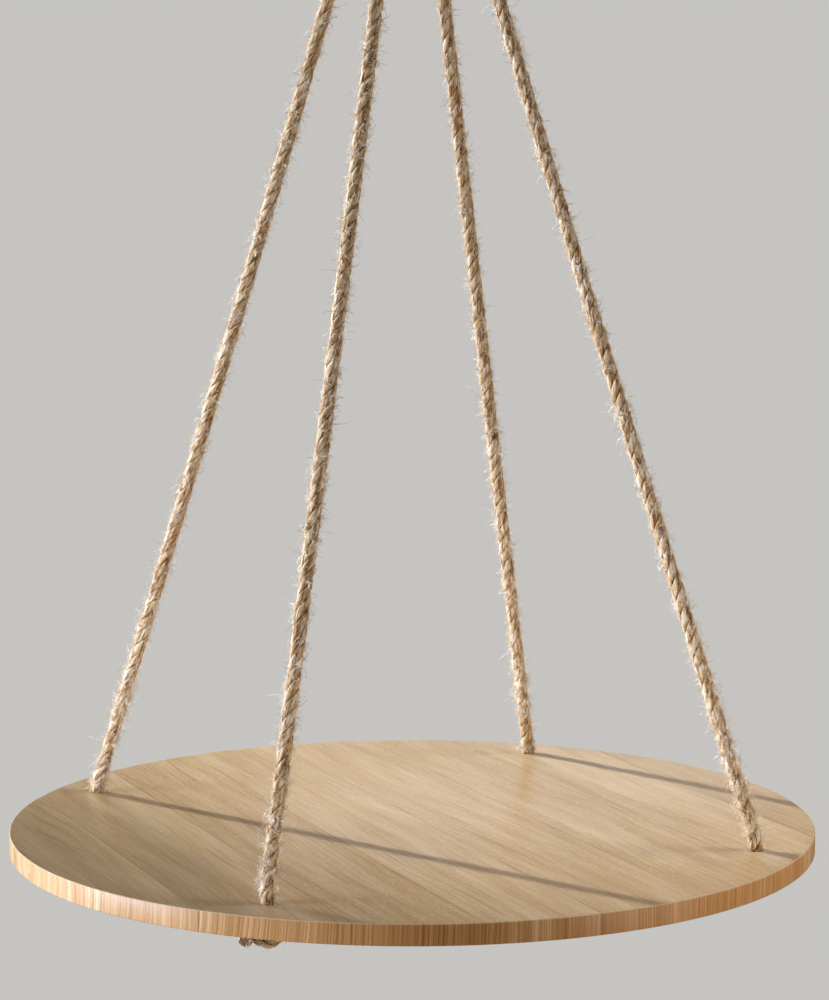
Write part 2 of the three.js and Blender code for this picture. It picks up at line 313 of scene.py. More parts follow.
routeShares = (
    (0, 0), (0, 0.006), (0.0025, 0.0135), (0.0115, 0.0235), (0.0493, 0.0618), (0.2018, 0.216),
    (0.395, 0.4087), (0.5913, 0.601), (0.7904, 0.7929), (0.9519, 0.9462), (0.9925, 0.9846),
    (0.9966, 0.9897), (0.9992, 0.9948), (1, 1),
)
legAngles = {"back_right": 45, "back_left": 135, "front_left": 225, "front_right": 315}
knotAngles = {"back_right": 200, "back_left": 320, "front_left": 280, "front_right": 293}


def knotPoint(turns):
    turn = 2 * math.pi * turns
    wind = rope["knotWinds"] * turn
    radius = rope["knotRadius"] - rope["knotSwing"] * math.sin(wind)
    height = rope["knotHeight"] + rope["knotSwing"] * math.cos(wind)
    return np.array((radius * math.cos(turn), radius * math.sin(turn), height))


def holeCentre(angle, height=0):
    return turnedAbout([(rope["holeRadius"], 0, height)], math.radians(angle))[0]


def legKnots(angle):
    # the leg from the whipping down to just inside its hole
    start = rope["strandOffset"] * math.sqrt(2)
    line = [(start + out * (rope["holeRadius"] - start), 0, rope["whippingFoot"] - down * rope["legDrop"])
            for out, down in routeShares]
    return turnedAbout(line, math.radians(angle))


def knotKnots(angle, knotAngle):
    # out of the hole, round the stopper knot and along its tail
    start = knotPoint(rope["knotStart"])
    heading = start - knotPoint(0)
    heading[2] = 0
    heading = unit(heading)
    entry = start - rope["knotEntryRadius"] * heading
    route = [(*entry[:2], rope["boardFoot"] + h) for h in (rope["knotDiameter"], rope["legEnd"], 0)]
    drop = rope["knotEntryRadius"] * (1 - math.sqrt(0.5))
    bend = start - drop * heading
    route.append((*bend[:2], rope["knotHeight"] + rope["knotSwing"] + drop))
    route += [knotPoint(rope["knotStart"] + rope["knotTurns"] * i / (rope["knotSteps"] - 1))
              for i in range(rope["knotSteps"])]
    last = np.array(route[-1])
    onward = unit(last - np.array(route[-2]))
    route += [last + onward * rope["tailLength"] / 2, last + onward * rope["tailLength"]]
    coil = turnedAbout(np.array(route) - (*entry[:2], 0), math.radians(knotAngle))
    return coil + holeCentre(angle)


def loopKnots(side):
    # up out of the whipping, over the ring and down again
    low, high = rope["whippingTop"], rope["loopHeight"]
    offset, half = rope["strandOffset"], rope["loopHalfWidth"]
    swell, arch = rope["swellSteps"], rope["archSteps"]
    neck = [(offset, low)]
    for i in range(1, swell + 1):
        wide = (1 - math.cos(math.pi * i / swell)) / 2
        neck.append((offset + (half - offset) * wide, low + i / swell * (high - low)))
    turns = [math.pi * i / arch for i in range(1, arch)]
    over = [(half * math.cos(t), high + half * math.sin(t)) for t in turns]
    line = neck + over + [(-x, z) for x, z in reversed(neck)]
    return [(x, side * offset, z) for x, z in line]


def ropeHalf(leg):
    # one end of a rope: the leg, its way through the board, the knot and the tail
    knot = knotKnots(legAngles[leg], knotAngles[leg])
    down = splinePoints(np.vstack([legKnots(legAngles[leg]), knot[1:2]]), rope["step"])
    wound = splinePoints(knot, rope["step"] / 2)
    return np.vstack([down, wound[wound[:, 2] < rope["boardFoot"] + rope["knotFrom"]]])


def ropeLine(rightLeg, leftLeg, side):
    # the middle of one whole rope, from the tail of one knot to the tail of the other
    loop = splinePoints(loopKnots(side), rope["step"])
    return np.vstack([ropeHalf(rightLeg)[::-1], loop, ropeHalf(leftLeg)])


# Materials

def newMaterial(name):
    # a bare material and the function that adds nodes to it
    material = bpy.data.materials.new(name)
    material.use_nodes = True
    material.node_tree.nodes.clear()
    return material, partial(addNode, material.node_tree)


wood = {
    # what the top shows, from a dark streak to a pale one
    "faceColours": {0.0: "#A67E50", 0.35: "#C6A273", 0.65: "#D4B488", 1.0: "#E6CDA6"},
    # the same on the rim, where the cut ends of the fibres take up more lacquer
    "endColours": {0.0: "#8F5B2B", 0.35: "#AE7842", 0.65: "#BD8B55", 1.0: "#D9B285"},
    # laid over the tone in this order, each with its strength and its colour; the arris line is a painted
    # highlight where the rounded edge catches the light
    "marks": {"lines": (0.34, "#8E6034"), "pores": (0.28, "#8E6034"), "flecks": (0.36, "#F0DAB4"),
              "joint": (0.62, "#6B4826"), "arris": (0.45, "#EFD9B4")},
    # where a mark starts to show in its noise, and where it shows in full
    "showing": {"lines": (0.60, 0.68), "pores": (0.60, 0.74), "flecks": (0.56, 0.72)},
    # noises: the size of their patches across, along and upwards in mm, their detail and roughness
    "wander": ((70.0, 380.0, 600.0), 2.0, 0.5),
    "bands": ((15.0, 170.0, 1.0), 2.0, 0.55),
    "rings": ((3.2, 120.0, 1.0), 1.5, 0.55),
    "vessels": ((0.8, 60.0, 1.0), 2.0, 0.55),
    "flecks": ((1.5, 5.0, 5.0), 2.0, 0.5),
    "pores": ((0.5, 8.0, 4.0), 1.0, 0.5),
    "jointOffset": 5.0,  # mm; the glue joints lie at this place plus whole stave widths
    "jointWidth": 0.45,
    "staveWidth": 80.0,
    "boardRadius": 300.0,
    "boardTop": -984.593,
    "pithDistance": 260.0,  # mm from a stave's middle to the middle of its tree
    "pithHeights": (-5.0, 20.0),
    "wanderWidth": 34.0,
    "staveShift": 900.0,  # moves each stave's noises to a place of their own
    "grainShift": 500.0,
    "bandShare": 0.40,
    "staveTones": (-0.21, -0.15),
    "toneRange": (-0.21, 0.26),
    # how much of the tone comes from the rings and the vessels, on the top and on the rim
    "ringShares": (0.26, 0.16),
    "vesselShares": (0.46, 0.85),
    # mm inwards from the board's edge and up from its top, from where a mask is 0 to where it is 1: for the
    # rim, and for the painted highlight along the top arris
    "rimDepths": (0.7, 0.2),
    "arrisHighlightDepths": (1.3, 0.5),
    "arrisHighlightHeights": (-0.9, -0.2),
    "endReach": (60.0, 230.0),  # mm to the back or front, where end grain starts and is full
    "leastEnd": 0.45,
    "rimFlecks": 0.15,
    "poreDepth": 0.8,
    "roughness": 0.25,
    "endDulling": 0.16,
    "vesselDulling": 0.12,
}


def lacqueredWood():
    # Light hardwood, sawn on the quarter, sanded and sprayed with satin lacquer. The eye sees
    # thin dark lines a few millimetres apart along the grain, soft bands, small silky flecks
    # and, on the rim, the upright ends of the same lines in a deeper orange.
    material, add = newMaterial("hardwood_satin_lacquered")
    width, boardRadius = wood["staveWidth"], wood["boardRadius"]
    place = add("TexCoord").outputs["Object"]
    inMm = add("VectorMath SCALE", {0: place, "Scale": 1000.0})
    across, along, height = add("SeparateXYZ", [inMm]).outputs

    def noiseOver(place, name):
        sizes, detail, roughness = wood[name]
        scaled = add("Mapping", {"Vector": place, "Scale": [1 / size for size in sizes]})
        return add("TexNoise", {"Vector": scaled, "Scale": 1.0, "Detail": detail, "Roughness": roughness})

    # which stave, and its own random numbers
    fromJoint = add("Math SUBTRACT", [across, wood["jointOffset"]])
    inStaves = add("Math DIVIDE", [fromJoint, width])
    stave = add("Math FLOOR", [inStaves])
    chance = add("TexWhiteNoise", {"W": stave}, noise_dimensions="1D").outputs["Color"]
    chances = add("SeparateColor", [chance]).outputs

    # distance from the tree's middle, which lies beside the stave: so the rings stand upright
    inside = add("Math FRACT", [inStaves])
    nearSide = wood["pithDistance"] - width / 2
    sideways = add("MapRange", [inside, 0.0, 1.0, nearSide, nearSide + width])
    below = add("Math SUBTRACT", [height, wood["boardTop"]])
    pithHeight = add("MapRange", [chances[0], 0.0, 1.0, *wood["pithHeights"]])
    upwards = add("Math ADD", [below, pithHeight])
    shift = add("VectorMath SCALE", {0: chance, "Scale": wood["staveShift"]})
    board = add("VectorMath ADD", [inMm, shift])
    wander = noiseOver(board, "wander")
    wandered = add("Math MULTIPLY_ADD", [wander, wood["wanderWidth"], sideways])
    section = add("CombineXYZ", [wandered, upwards])
    fromPith = add("VectorMath LENGTH", [section])
    seed = add("Math MULTIPLY", [chances[1], wood["grainShift"]])
    grain = add("CombineXYZ", [fromPith, along, seed])

    # bands, rings and vessels are the same grain at three widths; flecks are where the rays lie
    # flat, and pores are short dashes
    bands, rings, vessels = [noiseOver(grain, name) for name in ("bands", "rings", "vessels")]
    masks = {"lines": rings, "flecks": noiseOver(board, "flecks"), "pores": noiseOver(board, "pores")}
    for name, limits in wood["showing"].items():
        masks[name] = add("MapRange", [masks[name], *limits])

    # the rim: 1 where it cuts the fibres across, less where it runs along them
    flat = add("VectorMath MULTIPLY", [inMm, (1, 1, 0)])
    radius = add("VectorMath LENGTH", [flat])
    rim = add("MapRange", [radius, *[boardRadius - depth for depth in wood["rimDepths"]]])
    ends = add("Math ABSOLUTE", [along])
    endShare = add("MapRange", [ends, *wood["endReach"], wood["leastEnd"]])
    endGrain = add("Math MULTIPLY", [rim, endShare])

    # the flecks hardly show on the rim
    onTop = add("MapRange", [rim, 0.0, 1.0, 1.0, wood["rimFlecks"]])
    masks["flecks"] = add("Math MULTIPLY", [masks["flecks"], onTop])

    # tone from the noises, with more of the fine vessels on the rim
    staveTone = add("MapRange", [chances[2], 0.0, 1.0, *wood["staveTones"]])
    tone = add("Math MULTIPLY_ADD", [bands, wood["bandShare"], staveTone])
    for noise, shares in ((rings, wood["ringShares"]), (vessels, wood["vesselShares"])):
        offMiddle = add("Math SUBTRACT", [noise, 0.5])
        share = add("MapRange", [rim, 0.0, 1.0, *shares])
        tone = add("Math MULTIPLY_ADD", [offMiddle, share, tone])
    spread = add("MapRange", [tone, *wood["toneRange"]])
    face = add("ValToRGB", [spread])
    end = add("ValToRGB", [spread])
    paintRamp(face, wood["faceColours"])
    paintRamp(end, wood["endColours"])
    colour = add("Mix", {"Factor": endGrain, "A": face, "B": end}, data_type="RGBA")

    # marks laid over the tone
    offJoint = add("Math PINGPONG", [inStaves, 0.5])
    masks["joint"] = add("MapRange", [offJoint, 0.0, wood["jointWidth"] / width, 1.0, 0.0])
    # a pale line along the top arris: painted highlight, where the rounded edge catches the light
    nearArrisHighlight = add("MapRange", [radius, *[boardRadius - depth for depth in wood["arrisHighlightDepths"]]])
    nearTopHighlight = add("MapRange", [below, *wood["arrisHighlightHeights"]])
    masks["arris"] = add("Math MULTIPLY", [nearArrisHighlight, nearTopHighlight])
    for name, (strength, hexColour) in wood["marks"].items():
        share = add("Math MULTIPLY", [masks[name], strength])
        colour = add("Mix", {"Factor": share, "A": colour, "B": srgb(hexColour)}, data_type="RGBA")

    # lacquer: satin, a little duller over the vessels and on the end grain
    dull = add("Math MULTIPLY_ADD", [endGrain, wood["endDulling"], wood["roughness"]])
    dull = add("Math MULTIPLY_ADD", [vessels, wood["vesselDulling"], dull])
    relief = add("Math MULTIPLY_ADD", [masks["pores"], -wood["poreDepth"], vessels])
    bump = add("Bump", {"Height": relief, "Strength": 0.4, "Distance": 0.15 * mm})
    shader = add("BsdfPrincipled", {
        "Base Color": colour, "Roughness": dull, "Normal": bump, "Specular IOR Level": 0.18})
    add("OutputMaterial", [shader])
    return material


jute = {
    "ropeColours": {0.0: "#633A1C", 0.3: "#A87A48", 0.6: "#D6B483", 1.0: "#FAEDD6"},
    "twineColours": {0.0: "#6E4C2A", 0.35: "#A47C4A", 0.65: "#C9A673", 1.0: "#E6CFA3"},
    # painted shade in the clefts between the strands: its colour, and below how deep it reaches and how
    # dark it gets
    "cleftShadeColour": "#87572A",
    # loose fibres, with the light that passes through them painted in as a pale glow
    "fibreColoursWithGlow": {0.0: "#CFB083", 0.5: "#E8D5B5", 1.0: "#FFF7E8"},
    "streak": 0.75 * mm,  # a few fibres wide, because a single one is too fine to show
    "streakLength": 7.0 * mm,
    "windBack": 1.35,  # turns of the fibres round their strand to one turn of the lay
    "yarnScale": 0.42,
    "yarnShare": 0.7,
    "toneRange": (0.62, 1.08),
    "cleftShadeReach": (0.74, 0.9),  # of the rope's radius, from full depth to none
    "cleftShadeStrength": 0.8,
    "bareRange": (0.40, 0.56),
    "relief": 0.45 * mm,
}


def laidFibre(name, colours, cord):
    # Jute fibre spun into strands and laid up, undyed. The eye sees dry golden streaks that run nearly
    # along the rope, and dark clefts between the strands, where shade is painted into the colour.
    material, add = newMaterial(name)
    around = add("Attribute", attribute_name="around").outputs["Vector"]
    along = add("Attribute", attribute_name="along").outputs["Fac"]
    reach = add("Attribute", attribute_name="reach").outputs["Fac"]
    # the fibres wind back round their strand, against the lay
    back = jute["windBack"] * 2 * math.pi / cord["layLength"]
    turn = add("Math MULTIPLY", [along, back])
    turned = add("VectorRotate", {"Vector": around, "Angle": turn}, rotation_type="Z_AXIS")
    size = cord["strandRadius"] / jute["streak"]
    onSurface = add("VectorMath SCALE", {0: turned, "Scale": size})
    lengthwise = add("Math MULTIPLY", [along, 1 / jute["streakLength"]])
    lift = add("CombineXYZ", {2: lengthwise})
    place = add("VectorMath ADD", [onSurface, lift])
    fine = add("TexNoise", {"Vector": place, "Scale": 1.0, "Detail": 3.0, "Roughness": 0.7})
    yarns = add("TexNoise", {"Vector": place, "Scale": jute["yarnScale"], "Detail": 1.0})
    both = add("Math MULTIPLY_ADD", [yarns, jute["yarnShare"], fine])
    ramp = add("ValToRGB", [add("MapRange", [both, *jute["toneRange"]])])
    paintRamp(ramp, colours)
    # painted shade, darkest deep between the strands
    deepShade = add("MapRange", [reach, *jute["cleftShadeReach"], jute["cleftShadeStrength"], 0.0])
    # loose fibre hides the painted shade of a cleft here and there
    bare = add("MapRange", [yarns, *jute["bareRange"]])
    cleftShade = add("Math MULTIPLY", [deepShade, bare])
    colour = add("Mix", {"Factor": cleftShade, "A": ramp, "B": srgb(jute["cleftShadeColour"])}, data_type="RGBA")
    bump = add("Bump", {"Height": both, "Strength": 1.0, "Distance": jute["relief"]})
    shader = add("BsdfPrincipled", {"Base Color": colour, "Roughness": 0.75, "Normal": bump,
                                    "Specular IOR Level": 0.2, "Sheen Weight": 0.02,
                                    "Sheen Roughness": 0.4})
    add("OutputMaterial", [shader])
    return material


def looseFibre():
    # Single jute fibres that stand off the rope. The eye sees them paler than the rope, because light
    # passes through each one;
    # that glow is painted into their pale colour.
    material, add = newMaterial("jute_fibre_loose")
    place = add("TexCoord").outputs["Object"]
    noise = add("TexNoise", {"Vector": place, "Scale": 190.0, "Detail": 2.0})
    spread = add("MapRange", [noise, 0.35, 0.62])
    ramp = add("ValToRGB", [spread])
    paintRamp(ramp, jute["fibreColoursWithGlow"])
    shader = add("BsdfPrincipled", {"Base Color": ramp, "Roughness": 0.7, "Specular IOR Level": 0.3})
    add("OutputMaterial", [shader])
    return material


zinc = {"dark": "#83878B", "pale": "#C3C5C7", "roughness": (0.22, 0.5)}


def zincPlate():
    # Mild steel wire, bent, welded and zinc plated. The eye sees a blue-grey satin metal with
    # faint cloudy patches and fine grit.
    material, add = newMaterial("steel_zinc_plated")
    place = add("TexCoord").outputs["Object"]
    cloud = add("TexNoise", {"Vector": place, "Scale": 220.0, "Detail": 3.0})
    grit = add("TexNoise", {"Vector": place, "Scale": 2600.0, "Detail": 2.0})
    colour = add("Mix", {"Factor": cloud, "A": srgb(zinc["dark"]), "B": srgb(zinc["pale"])},
                 data_type="RGBA")
    rough = add("MapRange", [cloud, 0.0, 1.0, *zinc["roughness"]])
    bump = add("Bump", {"Height": grit, "Strength": 0.3, "Distance": 0.06 * mm})
    shader = add("BsdfPrincipled", {
        "Base Color": colour, "Metallic": 1.0, "Roughness": rough, "Normal": bump})
    add("OutputMaterial", [shader])
    return material


materials = {
    "wood": lacqueredWood(),
    "rope": laidFibre("jute_rope_laid", jute["ropeColours"], rope),
    "fibre": looseFibre(),
    "zinc": zincPlate(),
}
print("materials made")


# Laid rope and twine, swept by geometry nodes along a line of points

def treeWith(name, inputs, output):
    # an empty geometry tree with named inputs and one geometry output, and what adds its nodes
    tree = bpy.data.node_groups.new(name, "GeometryNodeTree")
    for title, kind in inputs.items():
        tree.interface.new_socket(name=title, in_out="INPUT", socket_type="NodeSocket" + kind)
    tree.interface.new_socket(name=output, in_out="OUTPUT", socket_type="NodeSocketGeometry")
    add = partial(addNode, tree)
    return tree, add, add("GroupInput").outputs


def laidTree():
    # strands pressed against each other, swept along the line and turned as they go
    tree, add, given = treeWith("laidRope", {
        "Line": "Geometry", "Strands": "Int", "Sides": "Int", "Material": "Material"}, "Rope")
    spot = add("InputPosition")
    circle = add("CurvePrimitiveCircle", {"Resolution": given["Sides"], "Radius": 1.0})
    marked = add("StoreNamedAttribute", {"Geometry": circle, "Name": "around", "Value": spot},
                 data_type="FLOAT_VECTOR")
    # an oval from the rope's middle to its outside, half as deep as the rope and wider
    oval = add("Transform", {"Geometry": marked, "Translation": (0.5, 0, 0), "Scale": (0.5, 0.66, 1)})
    # it keeps to its own share of the turn, so its flanks lie flat against its neighbours
    share = add("Math DIVIDE", [math.pi * 0.99, given["Strands"]])
    steep = add("Math TANGENT", [share])
    x, y, z = add("SeparateXYZ", [spot]).outputs
    room = add("Math MULTIPLY", [x, steep])
    size = add("Math ABSOLUTE", [y])
    kept = add("Math MINIMUM", [size, room])
    sign = add("Math SIGN", [y])
    signed = add("Math MULTIPLY", [kept, sign])
    pressedPlace = add("CombineXYZ", [x, signed])
    pressed = add("SetPosition", {"Geometry": oval, "Position": pressedPlace})
    # one for each strand, turned round the middle
    spots = add("MeshLine", {"Count": given["Strands"], "Offset": (0, 0, 0)})
    number = add("InputIndex")
    fullTurn = add("Math MULTIPLY", [number, 2 * math.pi])
    turn = add("Math DIVIDE", [fullTurn, given["Strands"]])
    turned = add("CombineXYZ", {2: turn})
    rotation = add("EulerToRotation", [turned])
    copies = add("InstanceOnPoints", {"Points": spots, "Instance": pressed, "Rotation": rotation})
    real = add("RealizeInstances", {"Geometry": copies})
    away = add("VectorMath LENGTH", [spot])
    profile = add("StoreNamedAttribute", {"Geometry": real, "Name": "reach", "Value": away})
    line = add("MeshToCurve", {"Mesh": given["Line"]})
    twist = add("InputNamedAttribute", {"Name": "twist"})
    width = add("InputNamedAttribute", {"Name": "width"})
    tilted = add("SetCurveTilt", {"Curve": line, "Tilt": twist})
    skin = add("CurveToMesh", {"Curve": tilted, "Profile Curve": profile, "Scale": width,
                               "Fill Caps": True})
    smooth = add("SetShadeSmooth", {"Geometry": skin})
    done = add("SetMaterial", {"Geometry": smooth, "Material": given["Material"]})
    add("GroupOutput", [done])
    return tree


# curls of a loose fibre: how far it bends over and how far it sways, as shares of its length
curls = ((0.25, 0.04), (0.75, -0.10), (-0.50, 0.12), (0.40, 0.22), (0.95, 0.06))


def hairTree():
    # loose fibres: thin tapered curls standing on a rope's surface at random slants
    tree, add, given = treeWith("looseFibres", {"Surface": "Geometry", "Density": "Float",
                                                "Length": "Float", "Thickness": "Float",
                                                "Least Slant": "Float", "Most Slant": "Float",
                                                "Seed": "Int", "Material": "Material"}, "Fibres")
    fuzz = add("InputNamedAttribute", {"Name": "fuzz"})
    fray = add("InputNamedAttribute", {"Name": "fray"})
    # they come in tufts, some 12 mm apart
    clump = add("TexNoise", {"Scale": 85.0, "Detail": 1.0})
    tufts = add("MapRange", [clump, 0.36, 0.64, 0.15, 1.85])
    here = add("Math MULTIPLY", [fuzz, tufts])
    density = add("Math MULTIPLY", [given["Density"], here])
    spots = add("DistributePointsOnFaces", {
        "Mesh": given["Surface"], "Density": density, "Seed": given["Seed"]})
    thin = add("Math DIVIDE", [given["Thickness"], given["Length"]])
    half = add("Math MULTIPLY", [thin, 0.5])
    circle = add("CurvePrimitiveCircle", {"Resolution": 3, "Radius": half})
    straight = add("CurvePrimitiveLine", {"End": (0, 0, 1)})
    stepped = add("ResampleCurve", {"Curve": straight, "Count": 4})
    factor = add("SplineParameter")
    taper = add("MapRange", [factor, 0.0, 1.0, 1.0, 0.4])
    square = add("Math POWER", [factor, 2.0])
    phase = add("Math MULTIPLY", [factor, 5.0])
    wave = add("Math SINE", [phase])
    kinds = add("JoinGeometry")
    for bend, sway in curls:
        over = add("Math MULTIPLY", [square, bend])
        aside = add("Math MULTIPLY", [wave, sway])
        move = add("CombineXYZ", [over, aside])
        curl = add("SetPosition", {"Geometry": stepped, "Offset": move})
        tube = add("CurveToMesh", {
            "Curve": curl, "Profile Curve": circle, "Scale": taper, "Fill Caps": True})
        kind = add("GeometryToInstance", [tube])
        tree.links.new(kind.outputs[0], kinds.inputs[0])
    least = add("CombineXYZ", [given["Least Slant"]])
    most = add("CombineXYZ", {0: given["Most Slant"], 2: 2 * math.pi})
    slant = add("RandomValue", {"Min": least, "Max": most, "Seed": given["Seed"]}, data_type="FLOAT_VECTOR")
    lean = add("RandomValue", {"Min": 0.0, "Max": 2 * math.pi, "Seed": given["Seed"]})
    spin = add("CombineXYZ", {2: lean})
    about = add("EulerToRotation", [spin])
    tipped = add("EulerToRotation", [slant])
    turned = add("RotateRotation", [spots.outputs["Rotation"], about], rotation_space="LOCAL")
    rotation = add("RotateRotation", [turned, tipped], rotation_space="LOCAL")
    sizeSeed = add("Math ADD", [given["Seed"], 17.0])
    chance = add("RandomValue", {"Min": 0.4, "Max": 1.3, "Seed": sizeSeed})
    longer = add("Math MULTIPLY_ADD", [fray, -0.45, 1.0])
    size = add("Math MULTIPLY", [chance, longer])
    size = add("Math MULTIPLY", [size, given["Length"]])
    copies = add("InstanceOnPoints", {
        "Points": spots, "Instance": kinds, "Pick Instance": True, "Rotation": rotation, "Scale": size})
    real = add("RealizeInstances", {"Geometry": copies})
    done = add("SetMaterial", {"Geometry": real, "Material": given["Material"]})
    add("GroupOutput", [done])
    return tree


def grown(name, mesh, tree, inputs):
    # runs a node tree on a mesh and keeps its result as a plain mesh
    obj = addObject(name, mesh)
    modifier = obj.modifiers.new("grow", "NODES")
    modifier.node_group = tree
    sockets = {s.name: s.identifier for s in tree.interface.items_tree if s.in_out == "INPUT"}
    for title, value in inputs.items():
        modifier[sockets[title]] = value
    graph = bpy.context.evaluated_depsgraph_get()
    result = bpy.data.meshes.new_from_object(obj.evaluated_get(graph), preserve_all_data_layers=True,
                                             depsgraph=graph)
    obj.modifiers.remove(modifier)
    obj.data = result
    result.name = name
    return obj


laid = laidTree()
hairs = hairTree()


def laidCord(name, points, radii, cord, material):
    # strands laid along a line of points, with a turn and a radius for every point
    along, layLength = lengthsAlong(points), cord["layLength"]
    mesh = meshFrom(name, points, [], [(i, i + 1) for i in range(len(points) - 1)])
    # the lay is a little tighter here and looser there
    uneven = 0.05 * layLength * smoothNoise(along, 3, 3.1 * layLength)
    setAttribute(mesh, "twist", 2 * math.pi * (along + uneven) / layLength)
    setAttribute(mesh, "width", radii)
    setAttribute(mesh, "along", along)
    return grown(name, mesh, laid, {
        "Strands": cord["strands"], "Sides": cord["sides"], "Material": material})


def ropeRadii(points):
    # full width above the board, squeezed in the knots, and never quite even
    height = points[:, 2]
    share = np.clip((height - rope["boardFoot"]) / rope["squeezeReach"], 0, 1)
    radii = rope["knotDiameter"] / 2 + share * (rope["diameter"] - rope["knotDiameter"]) / 2
    along = lengthsAlong(points)
    uneven = 1 + 0.025 * smoothNoise(along, 4, 0.047) + 0.02 * smoothNoise(along, 9, 0.019)
    return radii * uneven


def attributeOf(mesh, name):
    values = np.zeros(len(mesh.vertices), np.float32)
    mesh.attributes[name].data.foreach_get("value", values)
    return values


# loose fibres grow on the outside of a rope, more of them near the board and at the ends
growth = {"outside": 0.8, "lowFrom": 15 * mm, "lowReach": 140 * mm, "lowExtra": 0.9, "underBoard": 0.12,
          "endReach": 11 * mm, "endExtra": 1.6}


def hairWeights(mesh, line):
    places = np.zeros(len(mesh.vertices) * 3, np.float32)
    mesh.vertices.foreach_get("co", places)
    above = places.reshape(-1, 3)[:, 2] - rope["boardFoot"]
    along = attributeOf(mesh, "along")
    nearEnd = np.minimum(along, lengthsAlong(line)[-1] - along)
    fray = np.clip(1 - nearEnd / growth["endReach"], 0, 1)
    low = np.clip(1 - (above - growth["lowFrom"]) / growth["lowReach"], 0, 1)
    base = np.where(above > 0, 1 + growth["lowExtra"] * low, growth["underBoard"])
    outside = attributeOf(mesh, "reach") > growth["outside"]
    setAttribute(mesh, "fuzz", np.where(outside, base + growth["endExtra"] * fray, 0))
    setAttribute(mesh, "fray", fray)


# loose fibres of a rope: how many to the square metre, how long, how thick, and how far from
# upright they may lean; all are drawn some four times as thick as real ones, so as to show
coats = {
    "nap": (150000.0, 3.0 * mm, 0.32 * mm, 0.9, 1.45),
    "fuzz": (118000.0, 5.6 * mm, 0.36 * mm, 0.35, 1.2),
    "whiskers": (5200.0, 10.5 * mm, 0.32 * mm, 0.4, 1.2),
}


def coatOf(obj, name, coat, seed, **changes):
    # loose fibres on a cord, as a piece of their own
    titles = ("Density", "Length", "Thickness", "Least Slant", "Most Slant")
    inputs = {**dict(zip(titles, coats[coat])), **changes, "Seed": seed, "Material": materials["fibre"]}
    return grown(name, obj.data.copy(), hairs, inputs)


ropeEnds = {"front": ("front_right", "front_left", -1), "back": ("back_right", "back_left", 1)}
for name, (rightLeg, leftLeg, side) in ropeEnds.items():
    line = ropeLine(rightLeg, leftLeg, side)
    obj = laidCord(f"rope_{name}", line, ropeRadii(line), rope, materials["rope"])
    hairWeights(obj.data, line)
    ends = [f"{kind}_{leg}" for leg in (rightLeg, leftLeg) for kind in ("rope_leg", "knot")]
    finished(obj, "cradle", "jute_rope", materials["rope"], f"rope_loop_{name}", *ends)
    for number, coat in enumerate(coats):
        seed = 11 + 7 * number + (40 if name == "back" else 0)
        hair = coatOf(obj, f"rope_{name}_{coat}", coat, seed)
        finished(hair, "cradle", "jute_rope", materials["fibre"])


# Whipping: plied twine wound round the four strands

twine = {"diameter": 3 * mm, "gap": 0.3 * mm, "pitch": 3.5 * mm, "turns": 10, "cornerPoints": 9,
         "layLength": 9 * mm, "strandRadius": 0.8 * mm, "strands": 2, "sides": 12, "step": 0.9 * mm,
         "fuzzDensity": 90000.0}
materials["twine"] = laidFibre("jute_twine_plied", jute["twineColours"], twine)


def whippingLine():
    corner = (rope["diameter"] + twine["diameter"]) / 2 + twine["gap"]
    half = rope["strandOffset"]
    bend = np.linspace(0, math.pi / 2, twine["cornerPoints"])
    piece = [(half + corner, 0, 0)]
    piece += [(half + corner * math.cos(t), half + corner * math.sin(t), 0) for t in bend]
    loop = np.vstack([turnedAbout(piece, quarter * math.pi / 2) for quarter in range(4)])
    line = np.vstack([loop] * twine["turns"] + [loop[:1]])
    share = lengthsAlong(line) / lengthsAlong(line)[-1]
    line[:, 2] = rope["whippingFoot"] + twine["diameter"] / 2 + share * twine["turns"] * twine["pitch"]
    return spaced(line, twine["step"])


line = whippingLine()
radii = np.full(len(line), twine["diameter"] / 2)
obj = laidCord("top_whipping_twine", line, radii, twine, materials["twine"])
setAttribute(obj.data, "fuzz", np.ones(len(obj.data.vertices)))
setAttribute(obj.data, "fray", np.zeros(len(obj.data.vertices)))
hair = coatOf(obj, "top_whipping_fuzz", "nap", 5, Density=twine["fuzzDensity"])
finished(obj, "cradle", "jute_twine", materials["twine"], "top_whipping")
finished(hair, "cradle", "jute_twine", materials["fibre"])
print("whipping wound")


# Board: eight staves, each with its part of the rounded rim and of the holes

board = {
    "radius": 300 * mm,
    "top": -984.593 * mm,
    "foot": -999.593 * mm,
    "arris": 1.0 * mm,
    "arrisSteps": 4,
    "holeRadius": 5.5 * mm,
    "holeSides": 48,
    "jointOffset": 5 * mm,
    "staveWidth": 79.992 * mm,
    "glueLine": 0.05 * mm,
    "rimStep": 0.6,  # degrees between the rim's points
}


def levels():
    # heights from foot to top, with how far the rim is drawn in there
    arris, steps = board["arris"], board["arrisSteps"]
    turn = np.linspace(0, math.pi / 2, steps + 1)
    curve = [(arris * (1 - math.sin(t)), arris * (1 - math.cos(t))) for t in turn]
    low = [(board["foot"] + up, inward) for up, inward in curve[::-1]]
    return low + [(board["top"] - down, inward) for down, inward in curve]


def rimWear(angle):
    # small unevenness of the hand-sanded arris, in long and in short waves round the rim
    return 0.12 * mm * smoothNoise(angle, 7, 0.21) + 0.08 * mm * smoothNoise(angle, 8, 0.043)


